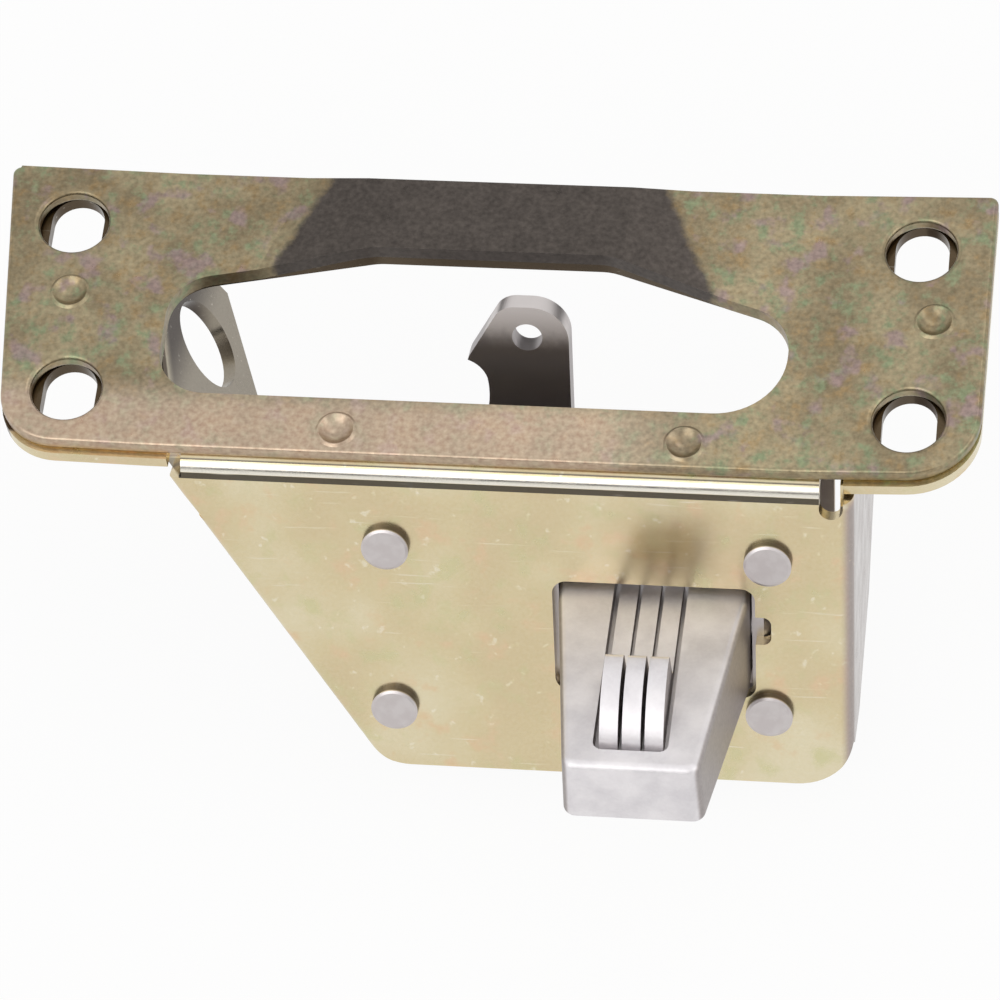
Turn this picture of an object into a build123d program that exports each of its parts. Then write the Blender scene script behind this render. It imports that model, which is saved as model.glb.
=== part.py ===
# Hood latch: a bolted mounting plate, a folded bracket welded under it, and a hook that a cast lever releases.
#
# X runs along the fold, +Y to the rear and +Z up from the flange. The origin is midway between the two
# rear mounting holes, at a height that all four hole walls reach. The plate and the bracket's flange
# meet in the seam.
# Sizes of the web are given as (x, up), measured along the web from the corner where its outer face
# meets the seam, and depth is measured behind the web's outer face.

from build123d import *
from math import acos, asin, atan2, cos, degrees, hypot, pi, radians, sin, tan
import os

# Mounting plate, the upper sheet
plate_thickness = 3.0
seam_below_origin = 2.0
plate_rear_width = 172.0
plate_front_left = 80.0
plate_front_right = 85.5
plate_rear_margin = 11.2
plate_front_overhang = 1.0
flange_front_overhang = 0.2
rear_hole_to_fold = 45.5
front_corner_left_radius = 10.0
front_corner_right_radius = 12.0
rear_corner_radius = 1.5
plate_edge_radius = 0.8

# Gentle lift of both ends of the flange
lift_start_left = 55.0
lift_start_right = 56.0
lift_angle_left = 1.6
lift_angle_right = 3.4
lift_bend_radius = 60.0

# Mounting holes: round in the plate, slots in the bracket below
rear_hole_spacing = 147.0
front_hole_left = 69.8
front_hole_right = 73.5
hole_row_spacing = 34.0
plate_hole_radius = 6.75
hole_rim_radius = 0.7
hole_under_radius = 1.0
slot_width = 9.2
slot_length = 13.2

# Oval opening for the striker
opening_left = 54.8
opening_right = 52.4
opening_front = 11.8
opening_rear = 41.5
opening_left_shoulder = 34.2
opening_right_shoulder = 31.0
opening_shoulder_x = 20.0
opening_small_radius = 8.5
opening_large_radius = 12.0
flange_opening_clearance = 1.5

# Raised guide band along the rear of the opening
band_rear_half = 33.0
band_front_half = 41.2
band_top_half = 23.0
band_rear_height = 0.5
band_front_height = 2.6
band_front_reach = 7.5
band_margin = 6.0

# Projection welds between plate and bracket
weld_ring_radius = 4.0
weld_ring_width = 0.9
weld_ring_height = 0.35
weld_dimple_radius = 2.6
weld_dimple_depth = 1.0
weld_end_row = 31.0
weld_front_row = 5.6
weld_end_left = 72.0
weld_end_right = 76.6
weld_front_left = 22.5
weld_front_right = 36.4

# Bracket sheet
sheet = 2.5
bend_inner_radius = 1.0
fold_flange_lap = 4.0
fold_web_lap = 12.0
web_lean = 25.0
web_height = 61.6
fold_left = 49.0
fold_right = 59.2
diagonal_top_x = 51.4
diagonal_top_drop = 4.3
diagonal_bottom_x = 18.0
web_corner_radius = 10.0
fold_to_side = 5.8
notch_width = 4.0
notch_depth = 6.4
fold_relief = 1.0
side_bend_radius = 2.4
side_bend_inner_radius = 0.4
under_flange_gap = 0.6

# Side walls: how far they reach behind the web
wall_deep = 53.0
wall_top_depth = 50.5
wall_knee_drop = 21.0
wall_waist_depth = 34.0
wall_waist_drop = 44.0
wall_toe_depth = 12.0
wall_bottom_lift = 7.6
gusset_deep = 55.0
gusset_waist_depth = 14.0
gusset_waist_along = 38.0
gusset_end_depth = 9.0
gusset_corner_gap = 5.0
gusset_shoulder_along = 20.0
gusset_hole_radius = 8.3
gusset_hole_along = -3.5
gusset_hole_depth = 37.3

# Rivets that stack the web, lever carrier, spacers and back plate
rivet_left_x = -14.5
rivet_right_x = 50.6
rivet_top_drop = 15.5
rivet_left_bottom_drop = 49.0
rivet_right_bottom_drop = 46.7
rivet_head_radius = 4.05
rivet_head_height = 2.9
rivet_head_chamfer = 0.45
rivet_shank_radius = 2.5
rivet_hole_clearance = 0.1
rivet_tail_radius = 4.2
rivet_tail_height = 2.0
spacer_radius = 4.5

# Lever window in the web
window_centre_x = 31.0
window_width = 34.6
window_top_drop = 21.3
window_bottom_drop = 43.9
window_corner_radius = 2.5
pin_notch_reach = 2.7
pin_notch_top_drop = 27.0
pin_notch_bottom_drop = 32.6
pin_notch_radius = 1.5

# Lever carrier, a plate behind the web with two ears for the lever pin
carrier_thickness = 2.0
ear_thickness = 2.0
ear_radius = 5.6
ear_root_half = 8.0
ear_side_gap = 0.3
pin_depth = 6.0
pin_drop = 32.0
pin_radius = 2.5
pin_head_radius = 3.4
pin_end_reach = 1.2
pin_room = 0.6
pin_room_height = 8.6
pin_head_height = 1.2
pin_head_chamfer = 0.6
pin_ear_clearance = 0.05
pin_running_clearance = 0.06
pin_groove_depth = 0.5
clip_thickness = 0.8
clip_radius = 3.4
clip_gap = 0.1
clip_play = 0.02
clip_mouth = 3.0

# Lever casting
lever_root_width = 32.4
lever_tip_width = 22.6
lever_reach = 37.0
lever_tip_top_drop = 32.4
lever_tip_bottom_drop = 45.6
lever_tip_set_back = 3.0
lever_hub_radius = 10.2
lever_taper_radius = 25.0
lever_edge_radius = 1.4
lever_corner_radius = 2.2
lever_wall = 2.6
cavity_start = 5.0
pocket_x = 30.6
pocket_width = 12.6
pocket_depth = 3.0
pocket_length = 34.4
pocket_corner_radius = 1.6
rib_count = 3
rib_width = 3.1
rib_pitch = 3.8
rib_low_drop = 0.9
rib_start = -4.0
rib_hump_start = 17.0
rib_rise_run = 1.6
rib_crest_radius = 1.5
rib_foot_radius = 1.0
rib_start_radius = 0.5
rib_crest_along = 20.8
rib_crest_height = 6.2
rib_end_along = 33.4
arm_x = 20.5
arm_width = 4.0
arm_root_depth = 8.0
arm_root_drop = 30.2
arm_root_radius = 3.0
nose_depth = 24.0
nose_radius = 1.8
nose_gap = 0.3
lever_recess_width = 7.2
lever_recess_drop = 25.6
core_x = 30.1
core_width = 9.0
core_front = 4.0
core_drop = 29.0
foot_places = (17.4, 28.0)
foot_width = 4.0
foot_length = 3.4
foot_height = 3.0
foot_middle = -0.6
foot_gap = 0.3
foot_radius = 0.5

# Hook plate
hook_depth = 22.0
hook_thickness = 4.0
hook_right_x = 15.0
hook_top = 19.3
hook_head_radius = 6.4
beak_x = -2.2
beak_up = 9.3
beak_top_x = 3.6
throat_x = -4.4
throat_up = 3.4
throat_radius = 5.4
beak_tip_radius = 0.5
beak_shoulder_radius = 4.0
jaw_tip_radius = 1.0
jaw_rise = 0.8
hook_eye_radius = 6.0
hook_pad_right_x = 24.5
hook_pad_drop = 34.0
hook_pad_bottom_drop = 42.0
hook_pad_radius = 1.5
hook_shoulder_drop = 4.0
hook_shoulder_radius = 3.0
hook_stop_gap = 0.3
cable_hole_x = 7.9
cable_hole_up = 13.4
cable_hole_radius = 2.6
washer_thickness = 0.8
washer_radius = 5.6
washer_gap = 0.1
pivot_sleeve_radius = 3.5
pivot_clearance = 0.05

# Back plate behind the hook
back_plate_thickness = 2.0
back_plate_top_drop = 7.5
back_plate_bottom_drop = 57.0
back_plate_side_gap = 3.0
back_plate_corner_radius = 3.0
back_plate_gusset_gap = 1.0

# Springs
hook_spring_wire = 1.3
hook_spring_coil_radius = 4.85
hook_spring_whole_turns = 5
hook_coil_rear_gap = 2.0
hook_coil_front_gap = 1.9
hook_spring_hole = (9.5, 7.0)
carrier_spring_hole = (-4.0, 11.0)
spring_hole_clearance = 0.2
hook_tip_reach = 3.2
carrier_tip_reach = 1.5
tip_bend_radius = 1.56
lever_spring_wire = 1.2
lever_spring_coil_radius = 3.9
lever_spring_whole_turns = 3
lever_spring_leg = 6.0
lever_spring_reach = 14.2
lever_spring_x = 41.3
lever_coil_gap = 0.1
spring_end_gap = 0.15

# Places worked out from the sizes above
fold_y = -rear_hole_to_fold
lean_sin, lean_cos = sin(radians(web_lean)), cos(radians(web_lean))
seam_z = -seam_below_origin
below, through = seam_z - 2 * sheet, 8 * sheet
web_plane = Plane(origin=(0, fold_y, seam_z), x_dir=(1, 0, 0), z_dir=(0, -lean_cos, lean_sin))
bend_outer_radius = bend_inner_radius + sheet
carrier_back = sheet + carrier_thickness
hook_back = hook_depth + hook_thickness
back_plate_front = hook_back + washer_thickness + 2 * washer_gap
back_plate_rear = back_plate_front + back_plate_thickness
rivet_hole_radius = rivet_shank_radius + rivet_hole_clearance
rivet_places = {
    "top_left": (rivet_left_x, -rivet_top_drop),
    "top_right": (rivet_right_x, -rivet_top_drop),
    "bottom_right": (rivet_right_x, -rivet_right_bottom_drop),
    "hook_pivot": (rivet_left_x, -rivet_left_bottom_drop),
}
pivot = rivet_places["hook_pivot"]
slope_left = tan(radians(lift_angle_left))
slope_right = tan(radians(lift_angle_right))
flange_length = plate_rear_margin + rear_hole_to_fold + 2
notch_right = fold_right + notch_width
web_side_x = fold_right + fold_to_side
wall_bottom_up = wall_bottom_lift - web_height
window_middle_up = -(window_top_drop + window_bottom_drop) / 2
window_right_x = window_centre_x + window_width / 2
band_side = band_front_half + band_margin


def side_plane(x):
    """The plane across the fold at x: its x axis leaves the web outwards and its y axis runs up the web."""
    return Plane(origin=(x, fold_y, seam_z), x_dir=(0, -lean_cos, lean_sin), z_dir=(-1, 0, 0))


def under_flange(depth):
    """How far up the web a wall reaches at a depth behind it, just short of the flange."""
    return (depth * lean_sin - sheet) / lean_cos - under_flange_gap


def lifted(x):
    """Height of the seam at x, with its two lifted ends."""
    return seam_z + slope_left * max(0, -x - lift_start_left) + slope_right * max(0, x - lift_start_right)


def lifted_section(bottom, top):
    """Section of a sheet as wide as the flange, bent up at both ends, between two heights."""
    reach = plate_rear_width / 2 + plate_rear_margin
    ends = [-reach, -lift_start_left, lift_start_right, reach]
    with BuildSketch(Plane.XZ.offset(-plate_rear_margin - 1)) as section:
        with BuildLine():
            FilletPolyline(
                *[(x, lifted(x) + bottom) for x in ends],
                *[(x, lifted(x) + top) for x in reversed(ends)],
                radius=2 * [0, lift_bend_radius, lift_bend_radius, 0],
                close=True,
            )
        make_face()
    return section.sketch


def flange_outline(front_y):
    """Plan view of the plate, with its slanted left end."""
    with BuildSketch() as outline:
        with BuildLine():
            FilletPolyline(
                (-plate_rear_width / 2, plate_rear_margin),
                (plate_rear_width / 2, plate_rear_margin),
                (plate_front_right, front_y),
                (-plate_front_left, front_y),
                radius=2 * [rear_corner_radius] + [front_corner_right_radius, front_corner_left_radius],
                close=True,
            )
        make_face()
    return outline.sketch


def opening_outline(growth):
    """The striker opening, larger all round by growth."""
    with BuildSketch() as opening:
        with BuildLine():
            FilletPolyline(
                (-opening_left, fold_y + opening_front),
                (opening_right, fold_y + opening_front),
                (opening_right, fold_y + opening_right_shoulder),
                (opening_shoulder_x, fold_y + opening_rear),
                (-opening_shoulder_x, fold_y + opening_rear),
                (-opening_left, fold_y + opening_left_shoulder),
                radius=[opening_small_radius, opening_large_radius] + 4 * [opening_small_radius],
                close=True,
            )
        make_face()
        if growth:
            offset(amount=growth)
    return opening.sketch


mounting_hole_places = [
    (-rear_hole_spacing / 2, 0),
    (rear_hole_spacing / 2, 0),
    (-front_hole_left, -hole_row_spacing),
    (front_hole_right, -hole_row_spacing),
]
weld_places = [
    (-weld_end_left, fold_y + weld_end_row),
    (weld_end_right, fold_y + weld_end_row),
    (-weld_front_left, fold_y + weld_front_row),
    (weld_front_right, fold_y + weld_front_row),
]


def lift_tilt(x):
    """Turn about Y that lays a feature on the flange at x."""
    if x < -lift_start_left:
        return lift_angle_left
    return -lift_angle_right if x > lift_start_right else 0


def band_section(y, half, rise):
    """Section of the guide band across the plate at y, a sheet with a ramp up at each side."""
    right = [(band_top_half, rise), (half, 0), (band_side, 0)]
    ramp = [(-x, up) for x, up in reversed(right)] + right
    with BuildSketch(Plane.XZ.offset(-y)) as section:
        with BuildLine():
            Polyline(
                *[(x, seam_z + up) for x, up in ramp],
                *[(x, seam_z + up + plate_thickness) for x, up in reversed(ramp)],
                close=True,
            )
        make_face()
    return section.sketch


# Mounting plate: pressed sheet with the opening, round holes, weld dimples and the raised guide band
band_front_y = fold_y + opening_rear - band_front_reach
band_rear_y = plate_rear_margin + 1
with BuildPart() as mounting_plate:
    extrude(lifted_section(0, plate_thickness), amount=flange_length)
    with BuildSketch(Plane.XY.offset(below)):
        add(flange_outline(fold_y + plate_front_overhang))
    extrude(amount=through, mode=Mode.INTERSECT)
    upper = [face for face in mounting_plate.faces() if face.normal_at().Z > 0.9]
    rim = [edge for face in upper for edge in face.outer_wire().edges()]
    outside = [edge for edge in rim if sum(edge.is_same(other) for other in rim) == 1]
    fillet([edge for edge in outside if edge.center().Y < plate_rear_margin - 1], radius=plate_edge_radius)
    with BuildSketch(Plane.XY.offset(below)):
        with Locations((0, (band_front_y + band_rear_y) / 2)):
            Rectangle(2 * band_side, band_rear_y - band_front_y)
    extrude(amount=through, mode=Mode.SUBTRACT)
    add(band_section(band_rear_y, band_rear_half, band_rear_height))
    add(band_section(band_front_y, band_front_half, band_front_height))
    loft(ruled=True)
    with BuildSketch(Plane.XY.offset(below)):
        with Locations((0, plate_rear_margin + 1)):
            Rectangle(2 * band_side, 2)
    extrude(amount=through, mode=Mode.SUBTRACT)
    with BuildSketch(Plane.XY.offset(below)):
        add(opening_outline(0))
    extrude(amount=through, mode=Mode.SUBTRACT)
    with BuildSketch(Plane.XY.offset(below)):
        with Locations(*mounting_hole_places):
            Circle(plate_hole_radius)
    extrude(amount=through, mode=Mode.SUBTRACT)
    rims = [edge for edge in mounting_plate.edges()
            if abs(edge.length / (2 * pi * plate_hole_radius) - 1) < 0.02]
    upper_rims = [edge for edge in rims if edge.center().Z > lifted(edge.center().X) + plate_thickness / 2]
    fillet(upper_rims, radius=hole_rim_radius)
    lower_rims = [edge for edge in mounting_plate.edges()
                  if abs(edge.length / (2 * pi * plate_hole_radius) - 1) < 0.02
                  and abs(edge.center().Z - lifted(edge.center().X)) < hole_under_radius / 2]
    fillet(lower_rims, radius=hole_under_radius)
    for x, y in weld_places:
        with Locations(Location((x, y, lifted(x) + plate_thickness), (0, lift_tilt(x), 0))):
            Cone(weld_ring_radius, weld_ring_radius - weld_ring_width, 2 * weld_ring_height)
            dimple = weld_dimple_radius**2 / (2 * weld_dimple_depth) + weld_dimple_depth / 2
            with Locations((0, 0, dimple - weld_dimple_depth)):
                Sphere(dimple, mode=Mode.SUBTRACT)
mounting_plate.part.label = "mounting_plate"

# Latch bracket: one folded sheet with flange, web, left gusset and right side wall
bend_tangent = bend_outer_radius * tan(radians((90 - web_lean) / 2))
along = Vector(diagonal_top_x - diagonal_bottom_x, diagonal_top_drop - web_height, 0).normalized()
diagonal_end = (web_height - diagonal_top_drop) / -along.Y - gusset_corner_gap
gusset_plane = Plane(
    origin=web_plane.from_local_coords(Vector(-diagonal_top_x, -diagonal_top_drop, 0)),
    x_dir=(along.X, along.Y * lean_sin, along.Y * lean_cos),
    z_dir=(along.Y, -along.X * lean_sin, -along.X * lean_cos),
)


def along_under_flange(depth):
    """Distance along the diagonal, from its top, where the gusset meets the flange at a depth."""
    return (-diagonal_top_drop - under_flange(depth)) / -along.Y


def side_bend_edges(folded, inset):
    """Edges along the two side bends, on the outside of the sheet (inset 0) or its inside (inset sheet)."""
    right_plane = Plane(origin=side_plane(web_side_x).origin, x_dir=web_plane.z_dir, z_dir=(1, 0, 0))
    return [
        edge
        for plane in (right_plane, gusset_plane)
        for edge in folded.edges().filter_by(GeomType.LINE)
        if all(abs(plane.to_local_coords(edge @ end).Z + inset) < 0.001
               and abs(web_plane.to_local_coords(edge @ end).Z + inset) < 0.001 for end in (0, 1))
    ]


with BuildPart() as latch_bracket:
    extrude(lifted_section(-sheet, 0), amount=flange_length)
    with BuildSketch(Plane.XY.offset(below)):
        add(flange_outline(fold_y + flange_front_overhang))
        with Locations(((notch_right - diagonal_top_x) / 2, fold_y)):
            Rectangle(notch_right + diagonal_top_x, 2 * (bend_tangent + fold_relief), mode=Mode.SUBTRACT)
        with Locations(((fold_right - fold_left) / 2, fold_y + bend_tangent + fold_relief)):
            Rectangle(fold_right + fold_left, 2 * fold_relief)
        add(opening_outline(flange_opening_clearance), mode=Mode.SUBTRACT)
        with Locations(*mounting_hole_places):
            SlotOverall(slot_length, slot_width, rotation=90, mode=Mode.SUBTRACT)
    extrude(amount=through, mode=Mode.INTERSECT)
    with BuildSketch(side_plane(fold_right)):
        with BuildLine():
            rear, up = -fold_flange_lap * lean_cos, fold_flange_lap * lean_sin
            outer = FilletPolyline((rear, up), (0, 0), (0, -fold_web_lap), radius=bend_outer_radius)
            inner = FilletPolyline(
                (rear - sheet * lean_sin, up - sheet * lean_cos),
                (-sheet, (lean_sin - 1) * sheet / lean_cos),
                (-sheet, -fold_web_lap),
                radius=bend_inner_radius,
            )
            Line(outer @ 0, inner @ 0)
            Line(outer @ 1, inner @ 1)
        make_face()
    extrude(amount=fold_left + fold_right)
    with BuildSketch(web_plane) as web_outline:
        with BuildLine():
            Polyline(
                (-diagonal_top_x, -diagonal_top_drop),
                (web_side_x, -diagonal_top_drop),
                (web_side_x, -web_height),
                (-diagonal_bottom_x, -web_height),
                close=True,
            )
        make_face()
        fillet(web_outline.vertices().group_by(Axis.Y)[0], radius=web_corner_radius)
    extrude(amount=-sheet)
    with BuildSketch(side_plane(web_side_x)):
        with BuildLine():
            Polyline(
                (0, under_flange(0)),
                (-wall_top_depth, under_flange(wall_top_depth)),
                (-wall_deep, -wall_knee_drop),
                (-wall_waist_depth, -wall_waist_drop),
                (-wall_toe_depth, wall_bottom_up),
                (-sheet, wall_bottom_up),
                (0, web_corner_radius - web_height),
                close=True,
            )
        make_face()
    extrude(amount=sheet)
    with BuildSketch(gusset_plane):
        with BuildLine():
            Polyline(
                (0, 0),
                (diagonal_end, 0),
                (diagonal_end, -gusset_end_depth),
                (gusset_waist_along, -gusset_waist_depth),
                (gusset_waist_depth - gusset_deep + gusset_waist_along, -gusset_deep),
                (-gusset_shoulder_along, -wall_top_depth),
                (along_under_flange(wall_top_depth), -wall_top_depth),
                (along_under_flange(bend_outer_radius + 1), -bend_outer_radius - 1),
                (0, -bend_outer_radius - 1),
                close=True,
            )
        make_face()
        with Locations((gusset_hole_along, -gusset_hole_depth)):
            Circle(gusset_hole_radius, mode=Mode.SUBTRACT)
    extrude(amount=-sheet)
    fillet(side_bend_edges(latch_bracket, 0), radius=side_bend_radius)
    fillet(side_bend_edges(latch_bracket, sheet), radius=side_bend_inner_radius)
    with BuildSketch(web_plane.offset(1)):
        with Locations(*rivet_places.values()):
            Circle(rivet_hole_radius)
        with Locations((window_centre_x, window_middle_up)):
            RectangleRounded(window_width, window_bottom_drop - window_top_drop, window_corner_radius)
        with Locations((window_right_x, -(pin_notch_top_drop + pin_notch_bottom_drop) / 2)):
            notch_height = pin_notch_bottom_drop - pin_notch_top_drop
            RectangleRounded(2 * pin_notch_reach, notch_height, pin_notch_radius)
        with Locations(((fold_right + notch_right) / 2, 0)):
            SlotOverall(2 * notch_depth, notch_width, rotation=90)
    extrude(amount=-sheet - 2, mode=Mode.SUBTRACT)
latch_bracket.part.label = "latch_bracket"


def inner_plate_outline():
    """Outline of the plates on the rivets behind the web, cut parallel to the gusset at the lower left."""
    left_x = rivet_left_x - spacer_radius - back_plate_side_gap
    right_x = web_side_x - sheet - back_plate_side_gap
    slant = along.X / -along.Y
    top_x = -diagonal_top_x + (sheet + back_plate_gusset_gap) / -along.Y
    with BuildSketch() as outline:
        with BuildLine():
            FilletPolyline(
                (left_x, -back_plate_top_drop),
                (left_x, -diagonal_top_drop - (left_x - top_x) / slant),
                (top_x + slant * (back_plate_bottom_drop - diagonal_top_drop), -back_plate_bottom_drop),
                (right_x, -back_plate_bottom_drop),
                (right_x, -back_plate_top_drop),
                radius=back_plate_corner_radius,
                close=True,
            )
        make_face()
        with Locations(*rivet_places.values()):
            Circle(rivet_hole_radius, mode=Mode.SUBTRACT)
    return outline.sketch


# Lever carrier: plate behind the web, cut out for the lever, with two ears bent back for its pin
ear_inner = lever_root_width / 2 + ear_side_gap
ear_left = window_centre_x - ear_inner - ear_thickness
ear_right = window_centre_x + ear_inner + ear_thickness
clip_right = ear_left - clip_gap
clip_left = clip_right - clip_thickness
pin_end = clip_left - pin_end_reach
pin_room_left = pin_end - pin_room
pin_room_right = ear_right + pin_head_height + pin_room
with BuildPart() as lever_carrier:
    with BuildSketch(web_plane.offset(-sheet)):
        add(inner_plate_outline())
        with Locations((window_centre_x, window_middle_up)):
            Rectangle(2 * ear_inner, window_bottom_drop - window_top_drop, mode=Mode.SUBTRACT)
        with Locations(((pin_room_left + pin_room_right) / 2, -pin_drop)):
            Rectangle(pin_room_right - pin_room_left, pin_room_height, mode=Mode.SUBTRACT)
        with Locations((pivot[0] + carrier_spring_hole[0], pivot[1] + carrier_spring_hole[1])):
            Circle(hook_spring_wire / 2 + spring_hole_clearance, mode=Mode.SUBTRACT)
    extrude(amount=-carrier_thickness)
    for ear_start in (ear_left + ear_thickness, ear_right):
        with BuildSketch(side_plane(ear_start)):
            with BuildLine():
                end = CenterArc((-pin_depth, -pin_drop), ear_radius, 0, 360)
                root = Line((-sheet, ear_root_half - pin_drop), (-sheet, -ear_root_half - pin_drop))
            make_hull([end, root])
            with Locations((-sheet + ear_radius, -pin_drop)):
                Rectangle(2 * ear_radius, 2 * ear_root_half, mode=Mode.SUBTRACT)
            with Locations((-pin_depth, -pin_drop)):
                Circle(pin_radius + pin_ear_clearance, mode=Mode.SUBTRACT)
        extrude(amount=ear_thickness)
lever_carrier.part.label = "lever_carrier"

# Back plate: closes the stack behind the hook
with BuildPart() as back_plate:
    with BuildSketch(web_plane.offset(-back_plate_front)):
        add(inner_plate_outline())
    extrude(amount=-back_plate_thickness)
back_plate.part.label = "back_plate"


def turned(profile, x, up):
    """A piece turned about an axis square to the web: profile points are (radius, depth behind the web)."""
    foot = web_plane.from_local_coords(Vector(x, up, 0))
    axis_plane = Plane(origin=foot, x_dir=(1, 0, 0), z_dir=(0, -lean_sin, -lean_cos))
    with BuildPart() as piece:
        with BuildSketch(axis_plane):
            with BuildLine():
                Polyline(*[(radius, -deep) for radius, deep in profile], close=True)
            make_face()
        revolve(axis=Axis(axis_plane.origin, web_plane.z_dir))
    return piece.part


# Rivets: turned heads on the web, shanks through the stack and tails peened over the back plate
rivets = {}
for name, (x, up) in rivet_places.items():
    profile = [
        (0, -rivet_head_height),
        (rivet_head_radius - rivet_head_chamfer, -rivet_head_height),
        (rivet_head_radius, rivet_head_chamfer - rivet_head_height),
        (rivet_head_radius, 0),
        (rivet_shank_radius, 0),
        (rivet_shank_radius, back_plate_rear),
        (rivet_tail_radius, back_plate_rear),
        (rivet_tail_radius - rivet_tail_height / 2, back_plate_rear + rivet_tail_height),
        (0, back_plate_rear + rivet_tail_height),
    ]
    rivets[name] = turned(profile, x, up)
    rivets[name].label = f"rivet_{name}"

# Spacer sleeves on three rivets, and the pivot sleeve of the hook on the fourth
spacers = {}
for name, (x, up) in rivet_places.items():
    outer_radius = pivot_sleeve_radius if name == "hook_pivot" else spacer_radius
    profile = [
        (rivet_hole_radius, carrier_back),
        (outer_radius, carrier_back),
        (outer_radius, back_plate_front),
        (rivet_hole_radius, back_plate_front),
    ]
    spacers[name] = turned(profile, x, up)
    spacers[name].label = "hook_pivot_sleeve" if name == "hook_pivot" else f"spacer_{name}"

# Washers each side of the hook, on the pivot sleeve
washers = {}
washer_fronts = {"front": hook_depth - washer_gap - washer_thickness, "rear": hook_back + washer_gap}
for name, front in washer_fronts.items():
    profile = [
        (pivot_sleeve_radius + pivot_clearance, front),
        (washer_radius, front),
        (washer_radius, front + washer_thickness),
        (pivot_sleeve_radius + pivot_clearance, front + washer_thickness),
    ]
    washers[name] = turned(profile, *rivet_places["hook_pivot"])
    washers[name].label = f"hook_washer_{name}"


def tangent_point(start, centre, radius, side):
    """Where a line from start touches a circle, on the circle's left (1) or right (-1) as seen from start."""
    away = Vector(*start) - Vector(*centre)
    turn = -side * degrees(acos(radius / away.length))
    return Vector(*centre) + away.normalized().rotate(Axis.Z, turn) * radius


# Hook: blanked plate with beak, throat, jaw, cable hole, pivot eye and the pad that the lever presses
hook_left_x = rivet_left_x + spacer_radius + hook_stop_gap
pad_corner = (hook_pad_right_x, -hook_pad_bottom_drop)
shoulder = (hook_left_x, -rivet_top_drop - spacer_radius - hook_shoulder_drop)
jaw_up = throat_up - throat_radius + jaw_rise
with BuildPart() as latch_hook:
    with BuildSketch(web_plane.offset(-hook_depth)):
        with BuildLine():
            outline = [
                ((beak_x, beak_up), beak_tip_radius),
                ((beak_top_x, hook_top), beak_shoulder_radius),
                ((hook_right_x, hook_top), hook_head_radius),
                ((hook_right_x, -hook_pad_drop), hook_pad_radius),
                ((hook_pad_right_x, -hook_pad_drop), hook_pad_radius),
                (pad_corner, 2 * hook_pad_radius),
                (tangent_point(pad_corner, pivot, hook_eye_radius, 1), 0),
                (tangent_point(shoulder, pivot, hook_eye_radius, -1), 0),
                (shoulder, hook_shoulder_radius),
                ((hook_left_x, jaw_up), jaw_tip_radius),
                ((throat_x, jaw_up), 0),
                ((throat_x, throat_up), 0),
            ]
            corners, radii = zip(*outline)
            FilletPolyline(*corners, radius=radii, close=True)
        make_face()
        with Locations(pivot):
            Circle(hook_eye_radius)
            Circle(pivot_sleeve_radius + pivot_clearance, mode=Mode.SUBTRACT)
        with Locations((throat_x, throat_up)):
            Circle(throat_radius, mode=Mode.SUBTRACT)
        with Locations((cable_hole_x, cable_hole_up)):
            Circle(cable_hole_radius, mode=Mode.SUBTRACT)
        with Locations((pivot[0] + hook_spring_hole[0], pivot[1] + hook_spring_hole[1])):
            Circle(hook_spring_wire / 2 + spring_hole_clearance, mode=Mode.SUBTRACT)
    extrude(amount=-hook_thickness)
latch_hook.part.label = "latch_hook"

# Lever pin: headed at the right, grooved at the left for its clip
pin_axis = Axis(side_plane(0).from_local_coords(Vector(-pin_depth, -pin_drop, 0)), (1, 0, 0))
pin_plane = Plane(origin=pin_axis.position, x_dir=(1, 0, 0), z_dir=(0, -1, 0))
with BuildPart() as lever_pin:
    with BuildSketch(pin_plane):
        with BuildLine():
            Polyline(
                (pin_end, 0),
                (pin_end, pin_radius),
                (clip_left, pin_radius),
                (clip_left, pin_radius - pin_groove_depth),
                (clip_right, pin_radius - pin_groove_depth),
                (clip_right, pin_radius),
                (ear_right, pin_radius),
                (ear_right, pin_head_radius),
                (ear_right + pin_head_height, pin_head_radius - pin_head_chamfer),
                (ear_right + pin_head_height, 0),
                close=True,
            )
        make_face()
    revolve(axis=pin_axis)
lever_pin.part.label = "lever_pin"

# Pin clip: open spring ring in the pin's groove
with BuildPart() as lever_pin_clip:
    with BuildSketch(side_plane(clip_right)):
        with Locations((-pin_depth, -pin_drop)):
            Circle(clip_radius)
            Circle(pin_radius - pin_groove_depth + clip_play, mode=Mode.SUBTRACT)
            with Locations((-clip_radius, 0)):
                Rectangle(2 * clip_radius, clip_mouth, mode=Mode.SUBTRACT)
    extrude(amount=clip_thickness)
lever_pin_clip.part.label = "lever_pin_clip"

# Lever: die casting with a tapering ribbed handle, pin hub, spring recess, stop feet and an inner arm
face_run, face_drop = lever_reach + pin_depth, lever_tip_top_drop - pin_drop
face_angle = degrees(asin(lever_hub_radius / hypot(face_run, face_drop)) + atan2(face_drop, face_run))
face_root_up = -pin_drop + (lever_hub_radius - pin_depth * sin(radians(face_angle))) / cos(radians(face_angle))
face_rise = radians(web_lean - face_angle)
face_length = lever_reach / cos(radians(face_angle))


def face_side(x):
    """The plane across the fold at x whose x axis runs from the web along the lever's upper face."""
    root = side_plane(x).from_local_coords(Vector(0, face_root_up, 0))
    return Plane(origin=root, x_dir=(0, -cos(face_rise), sin(face_rise)), z_dir=(-1, 0, 0))


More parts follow.
